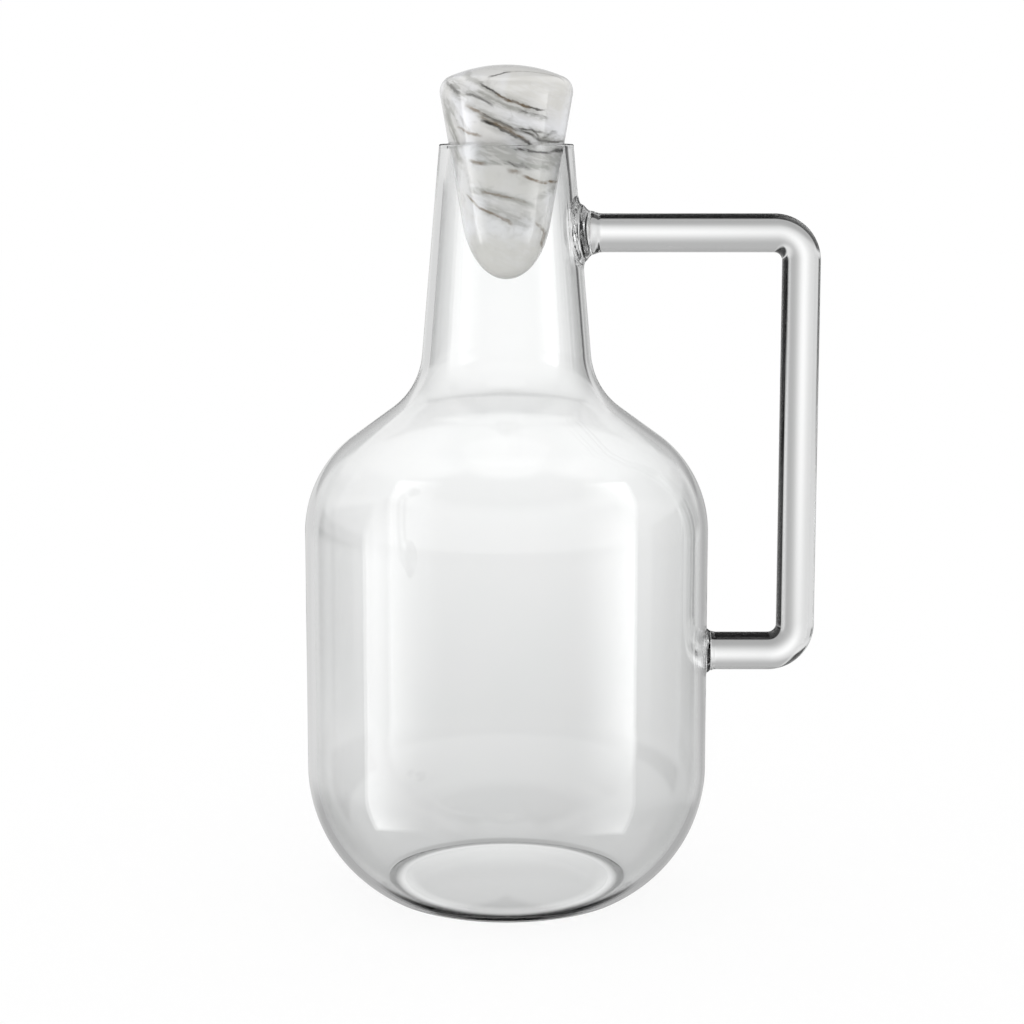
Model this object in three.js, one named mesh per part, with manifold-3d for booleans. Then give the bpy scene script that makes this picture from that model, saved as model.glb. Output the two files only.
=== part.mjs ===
// A blown glass carafe with a welded rod handle and a loose stone stopper.
// Millimetres, +Z up. The carafe stands on z = 0 with its handle towards +X, and the origin is the
// middle of the rectangle that the whole object covers on the table.

import * as THREE from 'three';
import { mergeVertices } from 'three/addons/utils/BufferGeometryUtils.js';
import Module from 'manifold-3d';

// Vessel
const BODY_DIAMETER = 110;
const BASE_DIAMETER = 68.8;
const RIM_DIAMETER = 36.2;
const GLASS_HEIGHT = 205;
const WALL_TOP = 100.4;
const WALL = 2.1;
const HEEL_RADIUS = 40;
const FOOT_RADIUS = 2;
const KICK_DIAMETER = 57;
const KICK_HEIGHT = 1.6;
const FLOOR_FILLET = 5;
const SHOULDER_RADIUS = 32;
const SHOULDER_FALL = THREE.MathUtils.degToRad(36);
const NECK_FILLET = 20;
const NECK_TAPER = THREE.MathUtils.degToRad(4.94);
const RIM_SWELL = 0.4;

// Handle
const ROD_DIAMETER = 10.4;
const ROD_REACH = 79.4;
const HANDLE_DROP = 23.6;
const HANDLE_SPAN = 114.7;
const BEND_RADIUS = 7.5;

// Welds between the rod and the vessel
const UPPER_WELD_DIAMETER = 20;
const UPPER_WELD_LENGTH = 6.2;
const LOWER_WELD_DIAMETER = 13.8;
const LOWER_WELD_LENGTH = 2.8;
const WELD_EDGE = 0.4;

// Stopper
const STOPPER_DIAMETER = 35.6;
const STOPPER_LENGTH = 57;
const STOPPER_TAPER = THREE.MathUtils.degToRad(9.8);
const NOSE_LENGTH = 20;
const CROWN_RADIUS = 38.6;
const CROWN_EDGE = 4.5;

// Clearances
const SEAT_CLEARANCE = 0.3;
const WELD_CLEARANCE = 0.3;

// Facets
const VESSEL_SIDES = 48;
const STOPPER_SIDES = 40;
const ROD_SIDES = 24;
const BEND_STEPS = 8;

const bodyRadius = BODY_DIAMETER / 2;
const rodRadius = ROD_DIAMETER / 2;
const beadRadius = (WALL + RIM_SWELL) / 2;

// Heights of the handle's two level runs, measured down from the rim.
const upperRunHeight = GLASS_HEIGHT - HANDLE_DROP;
const lowerRunHeight = upperRunHeight - HANDLE_SPAN;

// The vessel's axis stands off the origin by half of what the handle adds to the object's length.
const vesselAxisX = (bodyRadius - ROD_REACH - rodRadius) / 2;

const wasm = await Module();
wasm.setup();

const glass = () => new THREE.MeshStandardMaterial({
  color: 0xf2f5f5, roughness: 0.04, metalness: 0, transparent: true, opacity: 0.35,
});
const marble = () => new THREE.MeshStandardMaterial({ color: 0xe6e4e0, roughness: 0.25, metalness: 0 });

// Points of a profile arc from one bearing to another, where a bearing is the direction from the centre,
// 0 away from the axis and a quarter turn up.
function arc(centre, radius, from, to, steps) {
  return Array.from({ length: steps + 1 }, (_, i) => {
    const turn = from + (to - from) * i / steps;
    return new THREE.Vector2(centre.x + radius * Math.cos(turn), centre.y + radius * Math.sin(turn));
  });
}

// Where two circles cross, on the right hand going from the first centre to the second.
function circlesMeet(centreA, radiusA, centreB, radiusB) {
  const line = centreB.clone().sub(centreA);
  const span = line.length();
  const along = (span * span + radiusA * radiusA - radiusB * radiusB) / (2 * span);
  const aside = Math.sqrt(radiusA * radiusA - along * along);
  line.divideScalar(span);
  return new THREE.Vector2(
    centreA.x + line.x * along + line.y * aside,
    centreA.y + line.y * along - line.x * aside,
  );
}

const bearing = (from, to) => Math.atan2(to.y - from.y, to.x - from.x);

// One closed body with its shared corners merged and the flat triangles at its poles left out.
function closed(geometry) {
  geometry.deleteAttribute('normal');
  geometry.deleteAttribute('uv');
  const merged = mergeVertices(geometry, 1e-4);
  const index = merged.index.array;
  const corners = [];
  for (let i = 0; i < index.length; i += 3) {
    const [a, b, c] = [index[i], index[i + 1], index[i + 2]];
    if (a !== b && b !== c && c !== a) corners.push(a, b, c);
  }
  merged.setIndex(corners);
  return merged;
}

// A profile of (radius, height) points turned round the Z axis.
const turned = (profile, sides) => closed(new THREE.LatheGeometry(profile, sides).rotateX(Math.PI / 2));

function solid(geometry) {
  return new wasm.Manifold(new wasm.Mesh({
    numProp: 3,
    vertProperties: new Float32Array(geometry.attributes.position.array),
    triVerts: new Uint32Array(geometry.index.array),
  }));
}

function surface(manifold) {
  const mesh = manifold.getMesh();
  const geometry = new THREE.BufferGeometry();
  geometry.setAttribute('position', new THREE.BufferAttribute(mesh.vertProperties, 3));
  geometry.setIndex(new THREE.BufferAttribute(mesh.triVerts, 1));
  return geometry;
}

// Centres of the arcs of the vessel's profile. Inner and outer wall share those of heel, shoulder and neck.
const heelReach = bodyRadius - HEEL_RADIUS;
const heel = new THREE.Vector2(heelReach, Math.sqrt(HEEL_RADIUS ** 2 - (BASE_DIAMETER / 2 - heelReach) ** 2));
const shoulder = new THREE.Vector2(bodyRadius - SHOULDER_RADIUS, WALL_TOP);
const bead = new THREE.Vector2(RIM_DIAMETER / 2 - beadRadius, GLASS_HEIGHT - beadRadius);
const shoulderBearing = Math.PI / 2 - SHOULDER_FALL;
const neck = neckCentre();

// The neck's fillet rolls outside both the shoulder's cone and the neck's cone, at its own radius from each.
function neckCentre() {
  const onShoulder = new THREE.Vector2(Math.cos(shoulderBearing), Math.sin(shoulderBearing));
  const onNeck = new THREE.Vector2(Math.cos(NECK_TAPER), Math.sin(NECK_TAPER));
  const reachShoulder = onShoulder.dot(shoulder) + SHOULDER_RADIUS + NECK_FILLET;
  const reachNeck = onNeck.dot(bead) + beadRadius + NECK_FILLET;
  const cross = onShoulder.cross(onNeck);
  return new THREE.Vector2(
    (reachShoulder * onNeck.y - reachNeck * onShoulder.y) / cross,
    (reachNeck * onShoulder.x - reachShoulder * onNeck.x) / cross,
  );
}

// Outer radius of the neck's cone at a height.
const neckRadius = (height) => bead.x + beadRadius / Math.cos(NECK_TAPER)
  + (bead.y - height) * Math.tan(NECK_TAPER);

// Outer wall from the foot's flat ring up to the rim's crest, moved outwards by an allowance.
function outerWall(allowance) {
  const foot = new THREE.Vector2(
    heel.x + Math.sqrt((HEEL_RADIUS - FOOT_RADIUS) ** 2 - (heel.y - FOOT_RADIUS) ** 2),
    FOOT_RADIUS,
  );
  const footTurn = bearing(heel, foot);
  return [
    ...arc(foot, FOOT_RADIUS + allowance, -Math.PI / 2, footTurn, 3),
    ...arc(heel, HEEL_RADIUS + allowance, footTurn, 0, 9).slice(1),
    ...arc(shoulder, SHOULDER_RADIUS + allowance, 0, shoulderBearing, 7),
    ...arc(neck, NECK_FILLET - allowance, shoulderBearing - Math.PI, NECK_TAPER - Math.PI, 7),
    ...arc(bead, beadRadius + allowance, NECK_TAPER, Math.PI / 2, 4),
  ];
}

// Underside of the pushed-up base, from the axis to its edge on the table plane.
const kickEdge = KICK_DIAMETER / 2;
const kickRadius = (kickEdge ** 2 + KICK_HEIGHT ** 2) / (2 * KICK_HEIGHT);
const kick = new THREE.Vector2(0, KICK_HEIGHT - kickRadius);
const underside = () => arc(kick, kickRadius, Math.PI / 2, Math.acos(kickEdge / kickRadius), 4);

// Inner wall from the rim's crest down to the floor on the axis.
function innerWall() {
  const beadTurn = NECK_TAPER + 2 * Math.PI - Math.acos((beadRadius - WALL) / beadRadius);
  const heelInside = HEEL_RADIUS - WALL;
  const floorRadius = kickRadius + WALL;
  const trough = circlesMeet(kick, floorRadius + FLOOR_FILLET, heel, heelInside - FLOOR_FILLET);
  const troughTurn = bearing(heel, trough);
  const floorTurn = bearing(kick, trough);
  return [
    ...arc(bead, beadRadius, Math.PI / 2, beadTurn, 5).slice(1),
    ...arc(neck, NECK_FILLET + WALL, NECK_TAPER - Math.PI, shoulderBearing - Math.PI, 7),
    ...arc(shoulder, SHOULDER_RADIUS - WALL, shoulderBearing, 0, 7),
    ...arc(heel, heelInside, 0, troughTurn, 9),
    ...arc(trough, FLOOR_FILLET, troughTurn, floorTurn - Math.PI, 4).slice(1),
    ...arc(kick, floorRadius, floorTurn, Math.PI / 2, 4).slice(1),
  ];
}

function vessel() {
  const profile = [...underside(), ...outerWall(0), ...innerWall()];
  return new THREE.Mesh(turned(profile, VESSEL_SIDES), glass());
}

// The rod's middle line: out from the neck, down and back to the wall, with two equal bends.
// Each straight is one step and each bend has its own steps.
class RodLine extends THREE.Curve {
  constructor(upperStart, lowerEnd) {
    super();
    this.steps = 3 + 2 * BEND_STEPS;
    this.upperStart = upperStart;
    this.lowerEnd = lowerEnd;
  }

  getUtoTmapping(u) {
    return u;
  }

  getPoint(t) {
    const step = t * this.steps;
    const turnX = ROD_REACH - BEND_RADIUS;
    const turnTop = upperRunHeight - BEND_RADIUS;
    const turnBottom = lowerRunHeight + BEND_RADIUS;
    const bend = (height, quarter) => new THREE.Vector3(
      turnX + BEND_RADIUS * Math.cos(quarter * Math.PI / 2),
      0,
      height + BEND_RADIUS * Math.sin(quarter * Math.PI / 2),
    );
    const lerp = THREE.MathUtils.lerp;
    if (step < 1) return new THREE.Vector3(lerp(this.upperStart, turnX, step), 0, upperRunHeight);
    if (step < 1 + BEND_STEPS) return bend(turnTop, 1 - (step - 1) / BEND_STEPS);
    if (step < 2 + BEND_STEPS) {
      return new THREE.Vector3(ROD_REACH, 0, lerp(turnTop, turnBottom, step - 1 - BEND_STEPS));
    }
    if (step < 2 + 2 * BEND_STEPS) return bend(turnBottom, -(step - 2 - BEND_STEPS) / BEND_STEPS);
    return new THREE.Vector3(lerp(turnX, this.lowerEnd, step - 2 - 2 * BEND_STEPS), 0, lowerRunHeight);
  }
}

const upperWeldEnd = neckRadius(upperRunHeight) + UPPER_WELD_LENGTH;
const lowerWeldEnd = bodyRadius + LOWER_WELD_LENGTH;

function handleRod() {
  const line = new RodLine(upperWeldEnd, lowerWeldEnd);
  // A full circle is drawn with two sides for each of its curve segments.
  const section = new THREE.Shape().absarc(0, 0, rodRadius, 0, 2 * Math.PI);
  const rod = new THREE.ExtrudeGeometry(section, {
    extrudePath: line, steps: line.steps, curveSegments: ROD_SIDES / 2,
  });
  return new THREE.Mesh(closed(rod), glass());
}

// A weld flares from the rod's end face down to the vessel, hugs its round wall and stops just short of it.
function weld({ height, end, length, diameter, wallRadius }) {
  const flare = diameter / 2 - rodRadius;
  const foot = end - length + WELD_EDGE;
  const rise = length - WELD_EDGE;
  const steps = 6;
  const fillet = Array.from({ length: steps + 1 }, (_, i) => {
    const turn = i / steps * Math.PI / 2;
    return new THREE.Vector2(
      rodRadius + flare * (1 - Math.sin(turn)),
      foot + rise * (1 - Math.cos(turn)),
    );
  });
  const root = end - length - WALL;
  const profile = [new THREE.Vector2(0, root), new THREE.Vector2(diameter / 2, root), ...fillet,
    new THREE.Vector2(0, end)];
  const flared = closed(new THREE.LatheGeometry(profile, ROD_SIDES).rotateZ(-Math.PI / 2));
  const place = flared.attributes.position;
  for (let i = 0; i < place.count; i += 1) {
    const [x, y, z] = [place.getX(i), place.getY(i), place.getZ(i)];
    const hug = THREE.MathUtils.clamp((end - x) / rise, 0, 1);
    const wall = Math.sqrt(wallRadius(height + z) ** 2 - y ** 2);
    place.setX(i, x + hug * (wall - wallRadius(height)));
  }
  flared.translate(0, 0, height);
  const keepOut = turned(
    [new THREE.Vector2(0, -WELD_CLEARANCE), ...outerWall(WELD_CLEARANCE),
      new THREE.Vector2(0, GLASS_HEIGHT + WELD_CLEARANCE)],
    VESSEL_SIDES,
  );
  return new THREE.Mesh(surface(solid(flared).subtract(solid(keepOut))), glass());
}

// The stopper's taper rests on the rim's bead, so the mouth and the taper together set its height.
function stopper() {
  const crownEdge = new THREE.Vector2(STOPPER_DIAMETER / 2 - CROWN_EDGE, 0);
  const crown = new THREE.Vector2(0, -Math.sqrt((CROWN_RADIUS - CROWN_EDGE) ** 2 - crownEdge.x ** 2));
  const tip = crown.y + CROWN_RADIUS - STOPPER_LENGTH;
  const outward = new THREE.Vector2(Math.cos(STOPPER_TAPER), -Math.sin(STOPPER_TAPER));
  const taperReach = outward.dot(crownEdge) + CROWN_EDGE;

  // The nose is half an ellipse that the taper meets smoothly.
  const noseMiddle = tip + NOSE_LENGTH;
  const taperAtMiddle = (taperReach - outward.y * noseMiddle) / outward.x;
  const slope = Math.tan(STOPPER_TAPER);
  const noseRadius = Math.sqrt(taperAtMiddle ** 2 - (slope * NOSE_LENGTH) ** 2);
  const noseEnd = Math.atan2(-slope * NOSE_LENGTH, noseRadius);
  const noseSteps = 8;
  const nose = Array.from({ length: noseSteps + 1 }, (_, i) => {
    const turn = -Math.PI / 2 + (noseEnd + Math.PI / 2) * i / noseSteps;
    return new THREE.Vector2(noseRadius * Math.cos(turn), noseMiddle + NOSE_LENGTH * Math.sin(turn));
  });

  const crownTurn = bearing(crown, crownEdge);
  const profile = [
    ...nose,
    ...arc(crownEdge, CROWN_EDGE, -STOPPER_TAPER, crownTurn, 5),
    ...arc(crown, CROWN_RADIUS, crownTurn, Math.PI / 2, 4).slice(1),
  ];
  const piece = new THREE.Mesh(turned(profile, STOPPER_SIDES), marble());
  const beadReach = outward.dot(bead) - beadRadius - SEAT_CLEARANCE;
  piece.position.z = (taperReach - beadReach) / -outward.y;
  return piece;
}

const carafe = new THREE.Group();
carafe.position.x = vesselAxisX;

function add(name, piece) {
  piece.name = name;
  carafe.add(piece);
}

add('vessel', vessel());
add('handle_rod', handleRod());
add('upper_weld', weld({
  height: upperRunHeight,
  end: upperWeldEnd,
  length: UPPER_WELD_LENGTH,
  diameter: UPPER_WELD_DIAMETER,
  wallRadius: neckRadius,
}));
add('lower_weld', weld({
  height: lowerRunHeight,
  end: lowerWeldEnd,
  length: LOWER_WELD_LENGTH,
  diameter: LOWER_WELD_DIAMETER,
  wallRadius: () => bodyRadius,
}));
add('stopper', stopper());

export default carafe;
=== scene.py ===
"""Looks of a clear glass carafe with a welded rod handle and a loose marble stopper. Metres, +Z up."""

import math

import bpy
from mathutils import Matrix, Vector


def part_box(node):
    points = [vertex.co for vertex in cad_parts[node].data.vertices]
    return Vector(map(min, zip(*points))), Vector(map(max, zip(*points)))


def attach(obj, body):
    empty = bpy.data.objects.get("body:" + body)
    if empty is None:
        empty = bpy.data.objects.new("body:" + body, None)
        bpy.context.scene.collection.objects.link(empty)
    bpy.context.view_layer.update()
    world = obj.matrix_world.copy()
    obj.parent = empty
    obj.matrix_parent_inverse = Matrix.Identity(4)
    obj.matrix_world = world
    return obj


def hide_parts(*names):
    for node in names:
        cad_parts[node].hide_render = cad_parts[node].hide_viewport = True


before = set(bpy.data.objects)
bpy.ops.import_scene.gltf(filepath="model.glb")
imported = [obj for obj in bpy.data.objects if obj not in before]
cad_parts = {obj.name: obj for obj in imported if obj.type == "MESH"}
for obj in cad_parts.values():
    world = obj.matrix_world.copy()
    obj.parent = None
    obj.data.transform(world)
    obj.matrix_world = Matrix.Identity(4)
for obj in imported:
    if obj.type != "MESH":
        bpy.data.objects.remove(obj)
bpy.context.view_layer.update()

MM = 0.001
DEGREE = math.pi / 180

# Camera
CAMERA_PLACE = (-0.0133, -0.6745, 0.2154)
CAMERA_DIP = 9.262 * DEGREE
CAMERA_LENS = 87.83
SENSOR_WIDTH = 36

# Vessel
vessel_low, vessel_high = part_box("vessel")
BODY_RADIUS = (vessel_high.y - vessel_low.y) / 2
GLASS_HEIGHT = vessel_high.z
AXIS_X = vessel_low.x + BODY_RADIUS
BASE_RADIUS = 34.4 * MM
RIM_RADIUS = 18.1 * MM
WALL_TOP = 100.4 * MM
WALL = 2.1 * MM
HEEL_RADIUS = 40 * MM
FOOT_RADIUS = 2 * MM
KICK_RADIUS = 28.5 * MM
KICK_HEIGHT = 1.6 * MM
FLOOR_FILLET = 5 * MM
SHOULDER_RADIUS = 32 * MM
SHOULDER_FALL = 36 * DEGREE
NECK_FILLET = 20 * MM
NECK_TAPER = 4.94 * DEGREE
RIM_SWELL = 0.4 * MM
BEAD_RADIUS = (WALL + RIM_SWELL) / 2
RIM_EDGE = 0.45 * MM
LIP_DEPTH = 9 * MM
VESSEL_SIDES = 192
PROFILE_STEPS = {
    "kick": 12, "ring": 2, "foot": 8, "heel": 40, "wall": 8, "shoulder": 30, "cone": 6, "neck": 24,
    "below weld": 8, "above weld": 6, "edge": 10, "top": 3,
    "lip": 4, "lining": 16, "wall inside": 12, "trough": 12,
}
# Length of the short first and last step of each straight
GUARD = 1 * MM

# Handle
rod_low, rod_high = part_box("handle_rod")
ROD_RADIUS = (rod_high.y - rod_low.y) / 2
ROD_REACH = rod_high.x - ROD_RADIUS - AXIS_X
UPPER_RUN = rod_high.z - ROD_RADIUS
LOWER_RUN = rod_low.z + ROD_RADIUS
BEND_RADIUS = 7.5 * MM
ROD_SIDES = 96
ROD_STEPS = {"upper": 8, "upright": 16, "lower": 6, "bend": 24}

# Welds: foot radius, length and height of the ripples, then the patch of wall around the foot as half a
# width in vessel sides, half a height and the number of rows in that height
UPPER_WELD = {
    "foot": 10 * MM, "length": 6.2 * MM, "ripple": 0.22 * MM,
    "sides": 18, "half": 12 * MM, "rows": 12,
}
LOWER_WELD = {
    "foot": 6.9 * MM, "length": 2.8 * MM, "ripple": 0.1 * MM,
    "sides": 8, "half": 14 * MM, "rows": 32,
}
PATCH_RINGS = 8
PATCH_EASE = 1.5
FILLET_RINGS = 40
RIPPLES = 3
# How the ripples swell round a weld: by what share, how often, and from which turn
RIPPLE_SWELL = {"share": 0.4, "count": 3, "turn": 1}

# Stopper
stopper_low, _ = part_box("stopper")
STOPPER_SIZES = {
    "Diameter": 35.6 * MM,
    "Length": 57 * MM,
    "Taper": 9.8 * DEGREE,
    "Nose Length": 20 * MM,
    "Crown Radius": 38.6 * MM,
    "Crown Edge": 4.5 * MM,
}
STOPPER_SIDES = 160
STOPPER_POINTS = {"crown": 40, "edge": 32, "side": 24, "nose": 60}
SPINDLE_RADIUS = 1e-7
POLE_MERGE = 2e-6


class Wire:
    """A node's output that takes part in Python arithmetic: each operator adds one Math node."""

    def __init__(self, graph, socket):
        self.graph = graph
        self.socket = socket

    def __add__(self, other):
        return self.graph.math("ADD", self, other)

    def __sub__(self, other):
        return self.graph.math("SUBTRACT", self, other)

    def __mul__(self, other):
        return self.graph.math("MULTIPLY", self, other)

    def __truediv__(self, other):
        return self.graph.math("DIVIDE", self, other)

    def __pow__(self, other):
        return self.graph.math("POWER", self, other)

    def __rsub__(self, other):
        return self.graph.math("SUBTRACT", other, self)

    def __rtruediv__(self, other):
        return self.graph.math("DIVIDE", other, self)

    __radd__ = __add__
    __rmul__ = __mul__

    def __neg__(self):
        return self * -1


class Graph:
    """A node tree that is written one call for each node."""

    def __init__(self, tree):
        self.tree = tree

    def node(self, kind, settings=(), inputs=(), output=0):
        """Adds a node, its settings first and then its inputs by name or number, and gives one output."""
        made = self.tree.nodes.new(kind)
        for name, value in dict(settings).items():
            setattr(made, name, value)
        for key, value in dict(inputs).items():
            for item in value if isinstance(value, list) else [value]:
                if isinstance(item, Wire):
                    self.tree.links.new(item.socket, made.inputs[key])
                else:
                    made.inputs[key].default_value = item
        return Wire(self, made.outputs[output]) if len(made.outputs) else made

    def math(self, operation, *values):
        return self.node("ShaderNodeMath", {"operation": operation}, enumerate(values))

    def step(self, value, start, end):
        """0 before start and 1 after end, with a smooth change between them."""
        inputs = {"Value": value, "From Min": start, "From Max": end}
        return self.node("ShaderNodeMapRange", {"interpolation_type": "SMOOTHSTEP"}, inputs)

    def around(self, value, place, soft):
        """A step from 0 to 1 with its middle at a place, or from 1 to 0 where the softness is negative."""
        return self.step(value, place - soft, place + soft)

    def bump_of(self, value, width):
        """A bell of height 1 where the value is 0, of about that half width."""
        ratio = value / width
        return self.math("EXPONENT", -(ratio * ratio))

    def split(self, vector):
        parts = self.node("ShaderNodeSeparateXYZ", inputs={"Vector": vector}).socket.node
        return [Wire(self, part) for part in parts.outputs]


def new_material(name):
    material = bpy.data.materials.new(name)
    material.use_nodes = True
    material.node_tree.nodes.clear()
    return material, Graph(material.node_tree)


def put_out(graph, surface, kind="ShaderNodeOutputMaterial"):
    graph.node(kind, inputs={"Surface": surface})


def plain_object(name, mesh, body, nodes):
    piece = bpy.data.objects.new(name, mesh)
    bpy.context.scene.collection.objects.link(piece)
    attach(piece, body)
    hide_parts(*nodes)
    return piece


# Profile of the vessel, as (radius, height) points

def arc(centre, radius, start, end, steps):
    """Points of an arc between two bearings: 0 points away from the axis, a quarter turn points up."""
    turns = [start + (end - start) * i / steps for i in range(steps + 1)]
    return [(centre[0] + radius * math.cos(t), centre[1] + radius * math.sin(t)) for t in turns]


def run(start, end, steps):
    """Points inside a straight, with a short first and last step that keep its shading straight."""
    length = math.dist(start, end)
    places = [GUARD / length + (1 - 2 * GUARD / length) * i / steps for i in range(steps + 1)]
    return [(start[0] + (end[0] - start[0]) * s, start[1] + (end[1] - start[1]) * s) for s in places]


def circles_meet(centre_a, radius_a, centre_b, radius_b):
    """Where two circles cross, on the right hand going from the first centre to the second."""
    span = math.dist(centre_a, centre_b)
    ahead = ((centre_b[0] - centre_a[0]) / span, (centre_b[1] - centre_a[1]) / span)
    along = (span ** 2 + radius_a ** 2 - radius_b ** 2) / (2 * span)
    aside = math.sqrt(radius_a ** 2 - along ** 2)
    return (
        centre_a[0] + ahead[0] * along + ahead[1] * aside,
        centre_a[1] + ahead[1] * along - ahead[0] * aside,
    )


def bearing(start, end):
    return math.atan2(end[1] - start[1], end[0] - start[0])


BASE_REACH = BASE_RADIUS - BODY_RADIUS + HEEL_RADIUS
HEEL = (BODY_RADIUS - HEEL_RADIUS, math.sqrt(HEEL_RADIUS ** 2 - BASE_REACH ** 2))
SHOULDER = (BODY_RADIUS - SHOULDER_RADIUS, WALL_TOP)
BEAD = (RIM_RADIUS - BEAD_RADIUS, GLASS_HEIGHT - BEAD_RADIUS)
SHOULDER_BEARING = math.pi / 2 - SHOULDER_FALL


def neck_centre():
    """The neck's fillet rolls outside the shoulder's cone and the neck's cone, at its radius from each."""
    cone = (math.cos(SHOULDER_BEARING), math.sin(SHOULDER_BEARING))
    neck = (math.cos(NECK_TAPER), math.sin(NECK_TAPER))
    reach_cone = cone[0] * SHOULDER[0] + cone[1] * SHOULDER[1] + SHOULDER_RADIUS + NECK_FILLET
    reach_neck = neck[0] * BEAD[0] + neck[1] * BEAD[1] + BEAD_RADIUS + NECK_FILLET
    cross = cone[0] * neck[1] - cone[1] * neck[0]
    return (
        (reach_cone * neck[1] - reach_neck * cone[1]) / cross,
        (reach_neck * cone[0] - reach_cone * neck[0]) / cross,
    )


NECK = neck_centre()


def neck_radius(height):
    return BEAD[0] + BEAD_RADIUS / math.cos(NECK_TAPER) + (BEAD[1] - height) * math.tan(NECK_TAPER)


def body_radius(_height):
    return BODY_RADIUS


def rows_beside(patch, height, start, end, steps_below, steps_above):
    """Points of a straight stretch of wall whose middle rows are those of the patch round a weld."""
    def on_line(z):
        share = (z - start[1]) / (end[1] - start[1])
        return (start[0] + (end[0] - start[0]) * share, z)

    low, high = on_line(height - patch["half"]), on_line(height + patch["half"])
    middle = [on_line(low[1] + (high[1] - low[1]) * i / patch["rows"]) for i in range(patch["rows"] + 1)]
    return run(start, low, steps_below) + middle + run(high, end, steps_above), middle[0]


def vessel_profile():
    """The profile from the middle of the underside round to the middle of the floor inside, and the first
    point of each weld's patch."""
    steps = PROFILE_STEPS
    kick_sphere = (KICK_RADIUS ** 2 + KICK_HEIGHT ** 2) / (2 * KICK_HEIGHT)
    kick = (0, KICK_HEIGHT - kick_sphere)
    foot_inset = math.sqrt((HEEL_RADIUS - FOOT_RADIUS) ** 2 - (HEEL[1] - FOOT_RADIUS) ** 2)
    foot = (HEEL[0] + foot_inset, FOOT_RADIUS)
    foot_turn = bearing(HEEL, foot)
    underside = arc(kick, kick_sphere, math.pi / 2, math.acos(KICK_RADIUS / kick_sphere), steps["kick"])
    ring = run((KICK_RADIUS, 0), (foot[0], 0), steps["ring"])

    heel_arc = arc(foot, FOOT_RADIUS, -math.pi / 2, foot_turn, steps["foot"])
    heel_arc += arc(HEEL, HEEL_RADIUS, foot_turn, 0, steps["heel"])[1:]
    shoulder_arc = arc(SHOULDER, SHOULDER_RADIUS, 0, SHOULDER_BEARING, steps["shoulder"])
    neck_arc = arc(NECK, NECK_FILLET, SHOULDER_BEARING - math.pi, NECK_TAPER - math.pi, steps["neck"])
    outer_edge = (neck_radius(GLASS_HEIGHT) - RIM_EDGE, GLASS_HEIGHT - RIM_EDGE)
    inner_edge = (RIM_RADIUS - 2 * BEAD_RADIUS + RIM_EDGE, GLASS_HEIGHT - RIM_EDGE)
    rim_arc = arc(outer_edge, RIM_EDGE, NECK_TAPER, math.pi / 2, steps["edge"])
    rim_arc += run(rim_arc[-1], (inner_edge[0], GLASS_HEIGHT), steps["top"])
    rim_arc += arc(inner_edge, RIM_EDGE, math.pi / 2, math.pi, steps["edge"])
    lip_height = GLASS_HEIGHT - LIP_DEPTH
    lip = (neck_radius(lip_height) - WALL / math.cos(NECK_TAPER), lip_height)
    wall_steps = (steps["wall"], steps["wall"])
    wall, lower_start = rows_beside(LOWER_WELD, LOWER_RUN, heel_arc[-1], shoulder_arc[0], *wall_steps)
    taper_steps = (steps["below weld"], steps["above weld"])
    taper, upper_start = rows_beside(UPPER_WELD, UPPER_RUN, neck_arc[-1], rim_arc[0], *taper_steps)
    cone = run(shoulder_arc[-1], neck_arc[0], steps["cone"])

    inside_heel = HEEL_RADIUS - WALL
    floor = kick_sphere + WALL
    trough = circles_meet(kick, floor + FLOOR_FILLET, HEEL, inside_heel - FLOOR_FILLET)
    trough_turn = bearing(HEEL, trough)
    floor_turn = bearing(kick, trough)
    neck_in = arc(NECK, NECK_FILLET + WALL, NECK_TAPER - math.pi, SHOULDER_BEARING - math.pi, steps["neck"])
    shoulder_in = arc(SHOULDER, SHOULDER_RADIUS - WALL, SHOULDER_BEARING, 0, steps["shoulder"])
    floor_in = arc(HEEL, inside_heel, 0, trough_turn, steps["heel"])
    floor_in += arc(trough, FLOOR_FILLET, trough_turn, floor_turn - math.pi, steps["trough"])[1:]
    floor_in += arc(kick, floor, floor_turn, math.pi / 2, steps["kick"])[1:]
    lining = run(rim_arc[-1], lip, steps["lip"]) + run(lip, neck_in[0], steps["lining"]) + neck_in
    lining += run(neck_in[-1], shoulder_in[0], steps["cone"]) + shoulder_in
    lining += run(shoulder_in[-1], floor_in[0], steps["wall inside"]) + floor_in

    outside = underside + ring + heel_arc + wall + shoulder_arc + cone + neck_arc + taper + rim_arc
    profile = outside + lining
    profile[0] = (0, profile[0][1])
    profile[-1] = (0, profile[-1][1])
    return profile, profile.index(upper_start), profile.index(lower_start)


# Glass, one closed skin round the vessel's wall, the welds and the rod

class Skin:
    """Vertices and faces of a mesh in the making."""

    def __init__(self):
        self.points = []
        self.faces = []

    def ring(self, points):
        first = len(self.points)
        self.points.extend(points)
        return list(range(first, len(self.points)))

    def band(self, lower, upper, skip=()):
        """Quads between two rings, or triangles where one of them is a pole."""
        count = max(len(lower), len(upper))
        for i in range(count):
            if i in skip:
                continue
            j = (i + 1) % count
            below = [lower[i % len(lower)], lower[j % len(lower)]]
            above = [upper[j % len(upper)], upper[i % len(upper)]]
            self.faces.append(list(dict.fromkeys(below + above)))

    def mesh(self, name, material):
        """The faces as a mesh, without the vertices that the windows left unused."""
        used = sorted({corner for face in self.faces for corner in face})
        number = {corner: i for i, corner in enumerate(used)}
        made = bpy.data.meshes.new(name)
        made.from_pydata([self.points[c] for c in used], [], [[number[c] for c in f] for f in self.faces])
        made.shade_smooth()
        made.materials.append(material)
        made.validate()
        return made


def on_wall(wall_radius, turn, height):
    radius = wall_radius(height)
    return (AXIS_X + radius * math.cos(turn), radius * math.sin(turn), height)


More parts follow.
